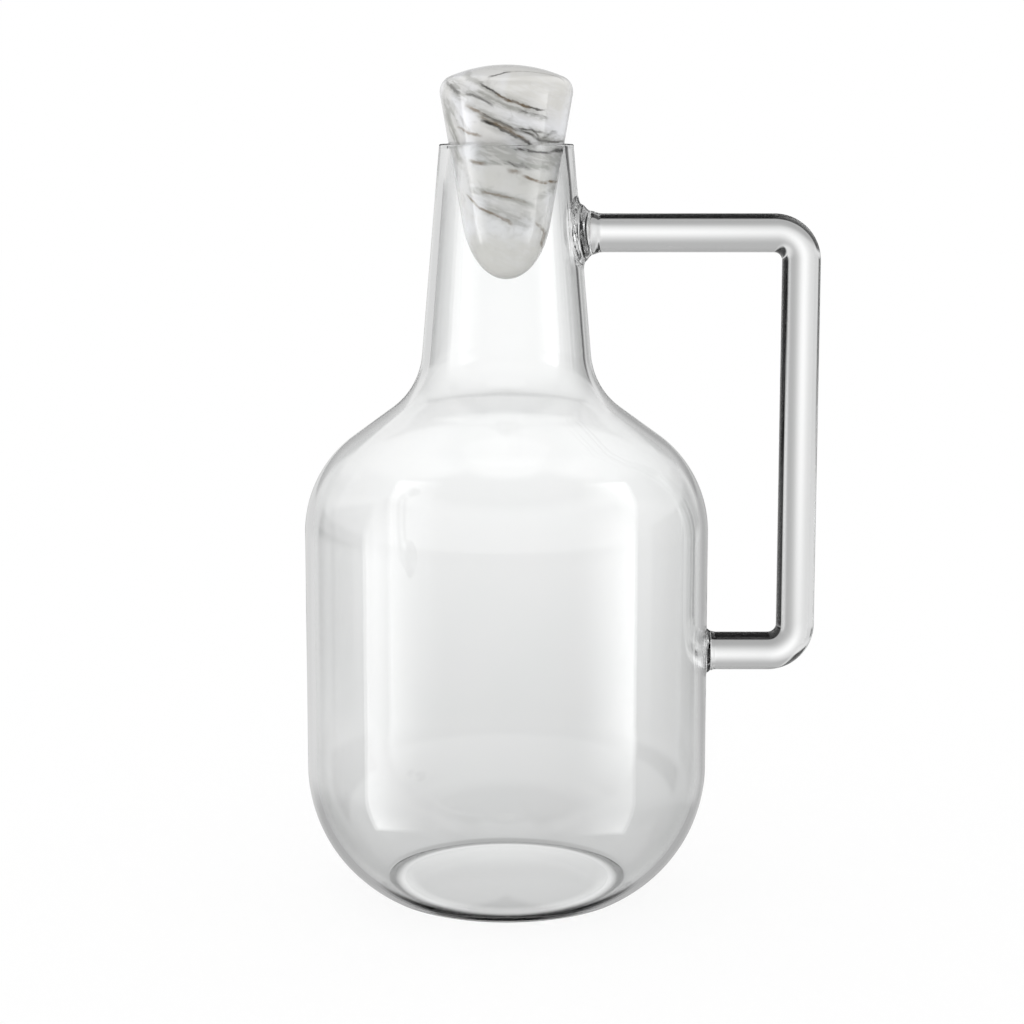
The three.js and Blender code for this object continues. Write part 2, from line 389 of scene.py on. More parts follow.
def patch_border(rows, first_row, weld, flip):
    """Vertices round a weld's patch, from the middle of its +Y side, upwards or, flipped, downwards."""
    sides, count = weld["sides"], weld["rows"]
    ups = [first_row + i for i in range(count + 1)]
    right = [rows[r][sides] for r in ups]
    top = [rows[ups[-1]][c] for c in range(sides, -sides - 1, -1)]
    left = [rows[r][-sides] for r in reversed(ups)]
    bottom = [rows[ups[0]][c] for c in range(-sides, sides + 1)]
    loop = right[count // 2:-1] + top[:-1] + left[:-1] + bottom[:-1] + right[:count // 2]
    return [loop[0]] + loop[:0:-1] if flip else loop


def weld_rings(skin, border, weld, height, wall_radius, flip):
    """Rings from a patch's border over the wall to the weld's foot and up its rippled fillet to the rod."""
    upward = -1 if flip else 1
    turns = [2 * math.pi * k / ROD_SIDES for k in range(ROD_SIDES)]
    start = wall_radius(height)
    rings = []

    def level(radius, turn):
        return (radius * math.cos(turn), height + upward * radius * math.sin(turn))

    for m in range(1, PATCH_RINGS):
        share = 1 - (1 - m / PATCH_RINGS) ** PATCH_EASE
        ring = []
        for vertex, turn in zip(border, turns):
            x, y, z = skin.points[vertex]
            foot_y, foot_z = level(weld["foot"], turn)
            foot_turn = math.asin(foot_y / wall_radius(foot_z))
            edge_turn = math.atan2(y, x - AXIS_X)
            ring_turn = edge_turn + (foot_turn - edge_turn) * share
            ring.append(on_wall(wall_radius, ring_turn, z + (foot_z - z) * share))
        rings.append(ring)

    for m in range(FILLET_RINGS + 1):
        quarter = m / FILLET_RINGS * math.pi / 2
        radius = ROD_RADIUS + (weld["foot"] - ROD_RADIUS) * (1 - math.sin(quarter))
        hug = math.cos(quarter)
        wave = weld["ripple"] * math.sin(2 * math.pi * RIPPLES * m / FILLET_RINGS) * hug
        ring = []
        for turn in turns:
            swell = RIPPLE_SWELL["share"] * math.cos(RIPPLE_SWELL["count"] * turn + RIPPLE_SWELL["turn"])
            y, z = level(radius + wave * (1 + swell), turn)
            drape = math.sqrt(wall_radius(z) ** 2 - y ** 2) - start
            ring.append((AXIS_X + start + weld["length"] * (1 - hug) + hug * drape, y, z))
        rings.append(ring)
    return rings


def rod_line():
    """Middle line of the rod between the welds: points in the X Z plane with the way the line goes there."""
    upper_end = neck_radius(UPPER_RUN) + UPPER_WELD["length"]
    lower_end = BODY_RADIUS + LOWER_WELD["length"]
    turn_x = ROD_REACH - BEND_RADIUS
    turn_top, turn_bottom = UPPER_RUN - BEND_RADIUS, LOWER_RUN + BEND_RADIUS
    quarter = math.pi / 2
    bend_steps = ROD_STEPS["bend"]
    upper_bend = arc((turn_x, turn_top), BEND_RADIUS, quarter, 0, bend_steps)
    lower_bend = arc((turn_x, turn_bottom), BEND_RADIUS, 0, -quarter, bend_steps)
    ways = [quarter * i / bend_steps for i in range(bend_steps + 1)]
    upper = run((upper_end, UPPER_RUN), upper_bend[0], ROD_STEPS["upper"])
    upright = run(upper_bend[-1], lower_bend[0], ROD_STEPS["upright"])
    lower = run(lower_bend[-1], (lower_end, LOWER_RUN), ROD_STEPS["lower"])
    points = upper + upper_bend + upright + lower_bend + lower
    falls = [0] * len(upper) + ways + [quarter] * len(upright)
    falls += [quarter + way for way in ways] + [math.pi] * len(lower)
    return list(zip(points, falls))


def rod_rings():
    rings = []
    for (x, z), fall in rod_line():
        ring = []
        for k in range(ROD_SIDES):
            turn = 2 * math.pi * k / ROD_SIDES
            aside = ROD_RADIUS * math.sin(turn)
            y = ROD_RADIUS * math.cos(turn)
            ring.append((AXIS_X + x + aside * math.sin(fall), y, z + aside * math.cos(fall)))
        rings.append(ring)
    return rings


def blown_glass(material):
    """The vessel and its handle as one closed skin, because welded glass has no faces inside its joints."""
    skin = Skin()
    profile, upper_row, lower_row = vessel_profile()
    rows = []
    for radius, height in profile:
        turns = [2 * math.pi * c / VESSEL_SIDES for c in range(VESSEL_SIDES if radius else 1)]
        circle = [(AXIS_X + radius * math.cos(t), radius * math.sin(t), height) for t in turns]
        rows.append(skin.ring(circle))
    windows = {}
    for first, weld in ((upper_row, UPPER_WELD), (lower_row, LOWER_WELD)):
        columns = {c % VESSEL_SIDES for c in range(-weld["sides"], weld["sides"])}
        windows.update({first + i: columns for i in range(weld["rows"])})
    for i in range(len(rows) - 1):
        skin.band(rows[i], rows[i + 1], windows.get(i, ()))

    upper_border = patch_border(rows, upper_row, UPPER_WELD, flip=False)
    lower_border = patch_border(rows, lower_row, LOWER_WELD, flip=True)
    rings = weld_rings(skin, upper_border, UPPER_WELD, UPPER_RUN, neck_radius, flip=False)
    rings += rod_rings()
    rings += weld_rings(skin, lower_border, LOWER_WELD, LOWER_RUN, body_radius, flip=True)[::-1]
    strips = [upper_border] + [skin.ring(ring) for ring in rings] + [lower_border]
    for i in range(len(strips) - 1):
        skin.band(strips[i], strips[i + 1])
    nodes = ("vessel", "handle_rod", "upper_weld", "lower_weld")
    return plain_object("blown_glass", skin.mesh("blown_glass", material), "carafe", nodes)


# Stopper

def stopper_tree(material):
    """A crown, its rounded edge, a straight taper and half an ellipse as nose, turned round the Z axis."""
    tree = bpy.data.node_groups.new("turned_stopper", "GeometryNodeTree")
    ports = tree.interface
    ports.new_socket("Geometry", in_out="INPUT", socket_type="NodeSocketGeometry")
    for name in STOPPER_SIZES:
        ports.new_socket(name, in_out="INPUT", socket_type="NodeSocketFloat")
    ports.new_socket("Place", in_out="INPUT", socket_type="NodeSocketVector")
    ports.new_socket("Geometry", in_out="OUTPUT", socket_type="NodeSocketGeometry")
    graph = Graph(tree)
    given = {s.name: Wire(graph, s) for s in tree.nodes.new("NodeGroupInput").outputs}
    taper = given["Taper"]
    edge = given["Crown Edge"]
    nose = given["Nose Length"]
    quarter = math.pi / 2

    def vector(x, y):
        return graph.node("ShaderNodeCombineXYZ", inputs={"X": x, "Y": y})

    def curve(radius, start, sweep, points, centre, scale=(1, 1, 1)):
        sizes = {"Resolution": points, "Radius": radius, "Start Angle": start, "Sweep Angle": sweep}
        drawn = graph.node("GeometryNodeCurveArc", inputs=sizes)
        inputs = {"Geometry": drawn, "Translation": centre, "Scale": scale}
        return graph.node("GeometryNodeTransform", inputs=inputs)

    # The profile is drawn with depth below the crown's edge as its second coordinate.
    sine, cosine = graph.math("SINE", taper), graph.math("COSINE", taper)
    slope = graph.math("TANGENT", taper)
    edge_reach = given["Diameter"] / 2 - edge
    crown_depth = ((given["Crown Radius"] - edge) ** 2 - edge_reach ** 2) ** 0.5
    crown_turn = graph.math("ARCTAN2", crown_depth, edge_reach)
    tip_depth = given["Length"] - given["Crown Radius"] + crown_depth
    nose_depth = tip_depth - nose
    nose_line = (cosine * edge_reach + edge - sine * nose_depth) / cosine
    nose_radius = (nose_line ** 2 - (slope * nose) ** 2) ** 0.5
    nose_turn = graph.math("ARCTAN2", slope * nose, nose_radius)

    points = STOPPER_POINTS
    crown_centre = vector(0, crown_depth)
    crown = curve(given["Crown Radius"], -quarter, quarter - crown_turn, points["crown"], crown_centre)
    rounding = curve(edge, -crown_turn, crown_turn + taper, points["edge"], vector(edge_reach, 0))
    line_start = vector(edge_reach + edge * cosine, edge * sine)
    nose_cosine = nose_radius * graph.math("COSINE", nose_turn)
    nose_sine = nose_depth + nose * graph.math("SINE", nose_turn)
    line = graph.node("GeometryNodeCurvePrimitiveLine",
                      inputs={"Start": line_start, "End": vector(nose_cosine, nose_sine)})
    line_points = {"Curve": line, "Count": points["side"]}
    side = graph.node("GeometryNodeResampleCurve", {"mode": "COUNT"}, line_points)
    nose_scale = graph.node("ShaderNodeCombineXYZ", inputs={"X": nose_radius, "Y": nose, "Z": 1})
    end = curve(1, nose_turn, quarter - nose_turn, points["nose"], vector(0, nose_depth), nose_scale)
    profile = graph.node("GeometryNodeJoinGeometry", inputs={"Geometry": [crown, rounding, side, end]})
    spindle_size = {"Resolution": STOPPER_SIDES, "Radius": SPINDLE_RADIUS}
    spindle = graph.node("GeometryNodeCurvePrimitiveCircle", inputs=spindle_size)
    turned = graph.node("GeometryNodeCurveToMesh", inputs={"Curve": spindle, "Profile Curve": profile})
    whole = graph.node("GeometryNodeMergeByDistance", inputs={"Geometry": turned, "Distance": POLE_MERGE})
    smooth = graph.node("GeometryNodeSetShadeSmooth", inputs={"Geometry": whole})
    lift = graph.node("ShaderNodeCombineXYZ", inputs={"Z": tip_depth})
    place = graph.node("ShaderNodeVectorMath", {"operation": "ADD"}, {0: given["Place"], 1: lift})
    placed = graph.node("GeometryNodeTransform", inputs={"Geometry": smooth, "Translation": place})
    real = graph.node("GeometryNodeRealizeInstances", inputs={"Geometry": placed})
    dressed = graph.node("GeometryNodeSetMaterial", inputs={"Geometry": real, "Material": material})
    graph.node("NodeGroupOutput", inputs={"Geometry": dressed})
    return tree


def marble_stopper(material):
    """The stopper, with its tip on the vessel's axis at the height of the CAD stopper's tip."""
    blank = bpy.data.objects.new("stopper_blank", bpy.data.meshes.new("stopper_blank"))
    bpy.context.scene.collection.objects.link(blank)
    turning = blank.modifiers.new("turning", "NODES")
    turning.node_group = stopper_tree(material)
    ports = {s.name: s.identifier for s in turning.node_group.interface.items_tree if s.in_out == "INPUT"}
    for name, size in STOPPER_SIZES.items():
        turning[ports[name]] = size
    turning[ports["Place"]] = (AXIS_X, 0, stopper_low.z)
    mesh = bpy.data.meshes.new_from_object(blank.evaluated_get(bpy.context.evaluated_depsgraph_get()))
    bpy.data.objects.remove(blank)
    mesh.name = "marble_stopper"
    return plain_object("marble_stopper", mesh, "stopper", ["stopper"])


# Finishes

WHITE = (1, 1, 1, 1)
GLASS_IOR = 1.47
GLASS_WAVES = {"scale": 55, "detail": 1, "height": 0.02 * MM, "roughness": 0.003}
GLASS_TINT = (0.985, 0.995, 0.992, 1)


def clear_glass():
    """Clear blown glass: hardly any tint, with the faint waves that blowing and the flame leave."""
    material, graph = new_material("clear_glass")
    place = graph.node("ShaderNodeTexCoord", output="Object")
    waves = noise(graph, place, GLASS_WAVES["scale"], GLASS_WAVES["detail"])
    relief = {"Height": waves, "Strength": 1, "Distance": GLASS_WAVES["height"]}
    bump = graph.node("ShaderNodeBump", inputs=relief)
    surface = graph.node("ShaderNodeBsdfPrincipled", inputs={
        "Base Color": blended(graph, waves, WHITE, GLASS_TINT),
        "Roughness": waves * GLASS_WAVES["roughness"],
        "IOR": GLASS_IOR,
        "Transmission Weight": 1,
        "Normal": bump,
    })
    put_out(graph, surface)
    return material


GREY = (0.3, 0.3, 0.275, 1)
DARK = (0.035, 0.032, 0.028, 1)
BROWN = (0.17, 0.115, 0.06, 1)
PALE_STONE = (0.69, 0.68, 0.645, 1)
WHITE_STONE = (0.84, 0.845, 0.87, 1)
STONE_IOR = 1.6
# The polish, and how much rougher the grain and the open veins make it
POLISH = {"roughness": 0.05, "by grain": 0.05, "by veins": 0.2}
COAT = {"weight": 0.6, "loss in veins": 0.4, "roughness": 0.04}
VEIN_RELIEF = {"strength": 0.25, "depth": 0.04 * MM}

# Noises of the stone, with lengths in millimetres
GRAIN = {"scale": 0.45, "detail": 3}
CLOUDS = {"scale": 0.07, "detail": 3, "start": 0.38, "end": 0.62, "least white": 0.3}
WISPS = {"scale": 0.09, "detail": 3, "width": 0.02, "start": 0.4, "end": 0.6, "strength": 0.22}
STREAKS = {"stretch": (4.5, 4.5, 1), "scale": 1.1, "detail": 3, "start": 0.47, "end": 0.6}
STREAK_FALLS = (22, 68)
# Folds of the veins, from wide to fine: the scale of each and how far it pushes
FOLDS = ((0.12, 2.4), (0.7, 0.7), (2.2, 0.3))

# Each vein is a thin sheet in the stone. Start and end are in X and Z on the side that faces the camera, at
# the Y of VEIN_FRONT, in millimetres from the stopper's axis and the vessel's rim; then the lean of the sheet
# towards the back in degrees, its half width, its strength, how far it is broken up, and its colour.
VEIN_FRONT = -14
VEINS = (
    ((0.0, 15.5), (16.0, 12.0), 0, 6.0, 0.9, 0.2, PALE_STONE),
    ((-10.0, -30.0), (12.0, -31.0), 0, 7.0, 0.9, 0.2, PALE_STONE),
    ((-6.0, -9.0), (10.0, -10.5), 0, 3.0, 0.6, 0.2, PALE_STONE),
    ((-13.0, 14.5), (12.0, 4.0), 6, 4.0, 0.16, 0.5, GREY),
    ((-7.5, -1.4), (15.0, -4.4), -6, 2.6, 0.62, 0.5, GREY),
    ((-9.5, -13.0), (9.5, -18.5), 4, 2.8, 0.2, 0.5, GREY),
    ((-11.0, 17.4), (-1.5, 13.4), 8, 0.7, 0.6, 0.6, GREY),
    ((-6.6, 15.8), (9.8, 8.7), 8, 0.26, 1.0, 0.35, DARK),
    ((-2.0, 13.7), (6.0, 10.3), 8, 0.4, 0.7, 0.6, BROWN),
    ((-8.3, 14.3), (2.5, 10.2), 8, 0.5, 0.45, 0.7, GREY),
    ((-11.2, 13.8), (10.5, 6.8), -6, 0.8, 0.6, 0.5, GREY),
    ((-10.8, 13.5), (-4.0, 10.2), -6, 0.32, 0.65, 0.5, DARK),
    ((3.4, 8.9), (10.5, 6.8), -6, 0.4, 0.6, 0.5, DARK),
    ((-10.4, 10.2), (12.5, 1.0), 10, 1.3, 0.4, 0.5, GREY),
    ((-9.6, 9.8), (-4.0, 7.3), 10, 0.42, 0.7, 0.5, BROWN),
    ((-6.4, 8.3), (7.3, 2.2), 10, 0.38, 0.95, 0.45, DARK),
    ((-6.6, 7.4), (2.5, 3.8), 10, 0.6, 0.6, 0.7, BROWN),
    ((-6.2, 6.4), (-0.5, 4.4), 10, 0.5, 0.85, 0.7, DARK),
    ((-6.0, 5.9), (6.4, -0.1), -9, 0.42, 1.0, 0.2, DARK),
    ((-4.0, 5.4), (5.0, 0.9), -9, 0.4, 0.6, 0.5, BROWN),
    ((3.2, 4.2), (9.6, 3.2), 0, 0.3, 0.8, 0.5, DARK),
    ((6.6, 4.2), (9.2, 1.4), 0, 0.3, 0.95, 0.3, DARK),
    ((8.4, 1.6), (13.2, 3.3), 0, 0.35, 0.8, 0.5, DARK),
    ((7.5, 1.9), (15.4, 0.3), 0, 0.35, 0.95, 0.4, DARK),
    ((9.0, 2.3), (15.8, 1.0), 0, 1.2, 0.45, 0.6, GREY),
    ((-16.5, 17.3), (-10.5, 12.3), 4, 1.7, 0.65, 0.6, GREY),
    ((-16.0, 16.0), (-12.0, 13.2), 4, 0.5, 0.6, 0.6, DARK),
    ((-16.9, 12.0), (-13.0, 0.2), 3, 0.7, 0.7, 0.6, GREY),
    ((-15.8, 13.0), (-11.5, 3.0), -3, 0.6, 0.65, 0.6, GREY),
    ((-16.8, 8.4), (-12.0, -4.5), 5, 0.7, 0.7, 0.6, GREY),
    ((-14.4, 11.6), (-9.4, 2.6), 0, 0.5, 0.4, 0.7, GREY),
    ((-12.4, 4.2), (-7.2, 2.2), 0, 0.3, 0.7, 0.3, BROWN),
    ((2.0, -1.0), (13.6, -2.7), 6, 0.35, 0.95, 0.5, DARK),
    ((11.8, -2.2), (15.0, -3.6), 6, 0.45, 1.0, 0.1, DARK),
    ((-8.6, -4.2), (10.5, -5.9), -4, 0.7, 0.7, 0.6, GREY),
    ((-9.0, -4.0), (-5.8, -4.8), 0, 0.6, 0.85, 0.4, BROWN),
    ((0.0, -5.0), (5.2, -5.6), 0, 0.45, 0.95, 0.5, DARK),
    ((0.6, -6.8), (3.2, -7.2), 0, 0.5, 0.8, 0.3, BROWN),
    ((4.4, -8.3), (13.3, -11.9), 12, 0.35, 1.0, 0.5, BROWN),
    ((-8.8, -11.4), (7.0, -15.8), -5, 0.75, 0.6, 0.4, GREY),
    ((-6.4, -12.2), (4.8, -15.0), -5, 0.3, 0.6, 0.5, BROWN),
    ((8.4, -14.2), (13.2, -12.2), 8, 0.9, 0.55, 0.5, GREY),
    ((-5.4, -17.0), (6.4, -21.4), 9, 1.4, 0.5, 0.5, GREY),
    ((-10.6, -14.4), (0.8, -20.8), 9, 0.35, 0.8, 0.4, BROWN),
    ((7.6, -20.2), (10.4, -23.4), 0, 0.35, 0.7, 0.5, BROWN),
    ((10.2, -23.0), (9.2, -27.4), 0, 0.5, 0.75, 0.4, BROWN),
)
# The vein over the crown: its middle, the way it runs in degrees and how far its sheet tilts, its length and
# half width, its lowest height and how softly it ends there, its strength and how far the grain breaks it up
CROWN_VEIN = {
    "middle": (6.2, -10.8, 19), "run": 20, "tilt": 0.09, "length": 23, "width": 0.38,
    "low": 16.5, "fade": 1, "strength": 0.95, "broken": 0.3,
}
# The grey halo round dark and brown veins: its reach in widths of the vein and in millimetres on top of that,
# and its strength
HALO = {"spread": 3, "reach": 1.2, "strength": 0.32}
# A vein fades over this length at its ends, and across it between these shares of its half width
VEIN_END = 1.2
VEIN_CORE = 0.3
VEIN_EDGE = 1.6


def side_sheet(start, end, lean):
    """Middle, way along, way across and length of a vein's sheet."""
    length = math.dist(start, end)
    run_x, run_z = (end[0] - start[0]) / length, (end[1] - start[1]) / length
    upright, back = math.cos(lean * DEGREE), math.sin(lean * DEGREE)
    middle = ((start[0] + end[0]) / 2, VEIN_FRONT, (start[1] + end[1]) / 2)
    return middle, (run_x, 0, run_z), (-run_z * upright, -back, run_x * upright), length


def crown_sheet():
    ahead = (math.cos(CROWN_VEIN["run"] * DEGREE), math.sin(CROWN_VEIN["run"] * DEGREE), 0)
    return CROWN_VEIN["middle"], ahead, (ahead[1], -ahead[0], CROWN_VEIN["tilt"]), CROWN_VEIN["length"]


def along_axis(graph, place, axis, middle):
    """How far a place lies from the middle of a vein, along one axis."""
    reach = graph.node("ShaderNodeVectorMath", {"operation": "DOT_PRODUCT"}, {0: place, 1: axis}, output=1)
    return graph.math("ABSOLUTE", reach - sum(a * m for a, m in zip(axis, middle)))


def vein_masks(graph, place, sheet, width, kept):
    """How strongly a vein and the halo round it show: a line with faded ends."""
    middle, ahead, aside, length = sheet
    along = along_axis(graph, place, ahead, middle)
    shown = graph.step(along, length / 2 + VEIN_END, length / 2 - VEIN_END) * kept
    across = along_axis(graph, place, aside, middle)
    halo = graph.step(across, width * HALO["spread"] + HALO["reach"], 0) * HALO["strength"]
    return graph.step(across, width * VEIN_EDGE, width * VEIN_CORE) * shown, halo * shown


def blended(graph, share, first, second):
    return graph.node("ShaderNodeMix", {"data_type": "RGBA"}, {0: share, 6: first, 7: second}, output=2)


def noise(graph, vector, scale, detail=2, output="Fac"):
    inputs = {"Vector": vector, "Scale": scale, "Detail": detail}
    return graph.node("ShaderNodeTexNoise", inputs=inputs, output=output)


def warped(graph, vector, scale, reach):
    """Coordinates pushed about by a noise."""
    push = noise(graph, vector, scale, output="Color")
    push = graph.node("ShaderNodeVectorMath", {"operation": "SUBTRACT"}, {0: push, 1: (0.5, 0.5, 0.5)})
    inputs = {0: push, 1: (reach, reach, reach), 2: vector}
    return graph.node("ShaderNodeVectorMath", {"operation": "MULTIPLY_ADD"}, inputs)


def streaked(graph, stone, fall):
    """Where veins that fall at an angle, in degrees, are broken up: a noise drawn out along their run."""
    inputs = {"Vector": stone, "Rotation": (0, fall * DEGREE, 0), "Scale": STREAKS["stretch"]}
    drawn = graph.node("ShaderNodeMapping", {"vector_type": "TEXTURE"}, inputs)
    streaks = noise(graph, drawn, STREAKS["scale"], STREAKS["detail"])
    return graph.step(streaks, STREAKS["start"], STREAKS["end"])


def marble():
    """Polished white marble with grey clouds and brown and dark veins, in millimetres from axis and rim."""
    material, graph = new_material("marble")
    place = graph.node("ShaderNodeTexCoord", output="Object")
    start = (-AXIS_X / MM, 0, -GLASS_HEIGHT / MM)
    millimetres = {"Vector": place, "Location": start, "Scale": (1 / MM,) * 3}
    stone = graph.node("ShaderNodeMapping", inputs=millimetres)
    grain = noise(graph, stone, GRAIN["scale"], GRAIN["detail"])
    streaks = [streaked(graph, stone, fall) for fall in STREAK_FALLS]
    folded = stone
    for scale, reach in FOLDS:
        folded = warped(graph, folded, scale, reach)
    cloud = noise(graph, stone, CLOUDS["scale"], CLOUDS["detail"])
    cloud = graph.step(cloud, CLOUDS["start"], CLOUDS["end"])
    least = CLOUDS["least white"]
    colour = blended(graph, least + (1 - least) * cloud, PALE_STONE, WHITE_STONE)
    wisp = graph.bump_of(noise(graph, folded, WISPS["scale"], WISPS["detail"]) - 0.5, WISPS["width"])
    wisp = wisp * graph.step(grain, WISPS["start"], WISPS["end"])
    colour = blended(graph, wisp * WISPS["strength"], colour, GREY)

    _, _, height = graph.split(folded)
    on_crown = graph.around(height, CROWN_VEIN["low"], CROWN_VEIN["fade"])
    kept = on_crown * (1 - CROWN_VEIN["broken"] * grain)
    crown, _ = vein_masks(graph, folded, crown_sheet(), CROWN_VEIN["width"], kept)
    colour = blended(graph, crown * CROWN_VEIN["strength"], colour, DARK)
    open_veins = crown
    for start, end, lean, width, strength, broken, tint in VEINS:
        steep = abs(end[1] - start[1]) > abs(end[0] - start[0])
        kept = strength * (1 - broken * streaks[steep])
        shown, halo = vein_masks(graph, folded, side_sheet(start, end, lean), width, kept)
        if tint in (DARK, BROWN):
            colour = blended(graph, halo, colour, GREY)
        colour = blended(graph, shown, colour, tint)
        if tint is DARK:
            open_veins = graph.math("MAXIMUM", shown, open_veins)

    relief = {"Height": -open_veins, "Strength": VEIN_RELIEF["strength"], "Distance": VEIN_RELIEF["depth"]}
    bump = graph.node("ShaderNodeBump", inputs=relief)
    surface = graph.node("ShaderNodeBsdfPrincipled", inputs={
        "Base Color": colour,
        "Roughness": POLISH["roughness"] + POLISH["by grain"] * grain + POLISH["by veins"] * open_veins,
        "IOR": STONE_IOR,
        "Coat Weight": COAT["weight"] - COAT["loss in veins"] * open_veins,
        "Coat Roughness": COAT["roughness"],
        "Normal": bump,
    })
    put_out(graph, surface)
    return material


# Studio

MOST_BOUNCES = 32
GLASS_BOUNCES = 24
FLOOR_SIDE = 6
FLOOR_SHADOW = 0.12

# Light round the object as the glass shows it, in degrees: sideways from straight behind, with the handle's
# side positive, and up from the horizon
ROOM_LEVEL = 0.6
BACK_GLOW = {"level": 1.04, "spread": 12, "rise": -4.2}
# Panels beside the object, each with the share of light that it loses for each degree above PANEL_MIDDLE
LEFT_PANEL = {"edge": -92, "end": -134, "low": -31, "high": 34, "level": 2.3, "loss": 0.025}
RIGHT_PANEL = {"edge": 101.5, "end": 146, "low": -33, "high": 34, "level": 1.65, "loss": 0.025}
PANEL_SOFT = {"edge": 0.5, "low": 0.7, "high": 3}
PANEL_MIDDLE = -15
# Two strips above and behind, as shares of a direction's length sideways, up and back
STRIPS = {"inner": 0.34, "outer": 0.7, "soft": 0.06, "low": 0.3, "low soft": 0.08, "level": 0.3}
STRIPS_FADE = (-0.2, 0.1)
# The floor close to the base as the glass shows it, in metres, glowing with painted light: painted shade
# under the base that is brighter to the back, and a painted ring of light in front
PAINTED_FLOOR_NEAR_BASE = {
    "radius": 0.029, "fade": 0.003, "level": 0.76, "rise": 3,
    "ring": 0.0262, "ring soft": 0.0018, "painted ring level": 0.95, "ring front": 0.008,
}
# Light on the stone: how much more there is behind glass, to make up for what glass takes, and how much less
# comes from the handle's side
GLASS_LOSS = 1.45
SIDE_LOSS = 0.1

# Cards of the backdrop, each laid over the ones before it: its two sides and their softness, its bottom and
# top and their softness, and its brightness
BACKDROP = (
    (-96, 0, 14, -90, 90, 1, 0.68),
    (0, 96, 14, -90, 90, 1, 0.45),
    (30, 96, 4, -90, 90, 1, 0.7),
    (-96, 96, 4, -90, -18, 4, 0.42),
    (-96, -26, 6, -14, -9, 2, 0.75),
    (28, 96, 4, -20, -10, 2, 0.6),
    (-96, -15, 4, 4, 90, 5, 0.8),
    (15, 96, 4, 4, 90, 5, 0.75),
    (-13, 13, 3, 14, 90, 6, 0.45),
)
# Dark cards that only show through the glass, and ones that only show as its mirror images
DARK_THROUGH = (
    (40, 88, 2, -14, 4, 2, 0),
    (35, 88, 5, -6, 10, 2, 0),
    (-91, -44, 1.5, -7, 3, 2, 0.03),
)
DARK_MIRRORED = (
    (-84, -46, 4, -13, -3, 1.5, 0.25),
    (6, 40, 3, -14, 0, 2, 0.35),
    (-40, -8, 3, -14, 0, 2, 0.6),
    (1, 26, 3, 22, 78, 4, 0.03),
    (-30, 30, 4, 0.3, 22, 1.5, 0.05),
)
FRONT = (
    (104, 256, 10, -91, 1, 2, 0.25),
    (104, 256, 10, 3, 40, 2, 0.8),
    (104, 256, 10, 46, 76, 4, 0.15),
)
OVERHEAD = (-181, 541, 1, 78, 91, 3, 1.0)
GROUND = (-181, 541, 1, -91, -37.5, 1.5, 0.45)
DARK_GROUND = (-24, 24, 5, -91, -37.5, 1.5, 0)
# The dark that a solid rod shows along its bends: all outside an oval of this half width and half height that
# lies below "low", or above "high" and further aside than "aside"
ROD_EDGE = {
    "width": 39, "height": 27, "rise": -9, "soft": 0.06, "level": 0,
    "low": -15, "high": 14, "rise soft": 3, "aside": 18, "aside soft": 4,
}
# What shows straight through both walls, further aside than the first of these bearings
CLEAR_VIEW = {"start": 24, "end": 36, "level": 0.95}
# How many surfaces a ray crosses in a solid rod, and in both walls of the vessel
ROD_CROSSINGS = 2
WALL_CROSSINGS = 4
# Half a count, which parts whole numbers of surfaces
HALF_COUNT = 0.5


def side_panel(graph, aside, elevation, panel):
    """Light of a panel beside the object: sharp at its edge, fading forwards and upwards."""
    along = aside * math.copysign(1, panel["edge"])
    edge, end = abs(panel["edge"]), abs(panel["end"])
    width = graph.around(along, edge, PANEL_SOFT["edge"]) * (1 - graph.step(along, edge, end))
    height = graph.around(elevation, panel["low"], PANEL_SOFT["low"])
    height = height * (1 - graph.around(elevation, panel["high"], PANEL_SOFT["high"]))
    return width * height * (panel["level"] * (1 - panel["loss"] * (elevation - PANEL_MIDDLE)))


def between(graph, value, start, end, soft):
    return graph.around(value, start, soft) * (1 - graph.around(value, end, soft))


def mixed(low, high, share):
    return low + (high - low) * share


def laid_over(graph, light, aside, elevation, card, shown=1):
    """The light with one more card in front of it, for the rays that it is shown to."""
    start, end, side_soft, low, high, rise_soft, level = card
    mask = between(graph, aside, start, end, side_soft) * between(graph, elevation, low, high, rise_soft)
    return mixed(light, level, mask * shown)


def rod_edge(graph, aside, elevation):
    """Where the dark is that a solid rod shows along its bends."""
    across = (aside / ROD_EDGE["width"]) ** 2
    oval = (across + ((elevation - ROD_EDGE["rise"]) / ROD_EDGE["height"]) ** 2) ** 0.5
    outside = graph.around(oval, 1, ROD_EDGE["soft"])
    high = graph.around(elevation, ROD_EDGE["high"], ROD_EDGE["rise soft"])
    high = high * graph.around(graph.math("ABSOLUTE", aside), ROD_EDGE["aside"], ROD_EDGE["aside soft"])
    low = graph.around(elevation, ROD_EDGE["low"], -ROD_EDGE["rise soft"])
    return outside * (low + high)


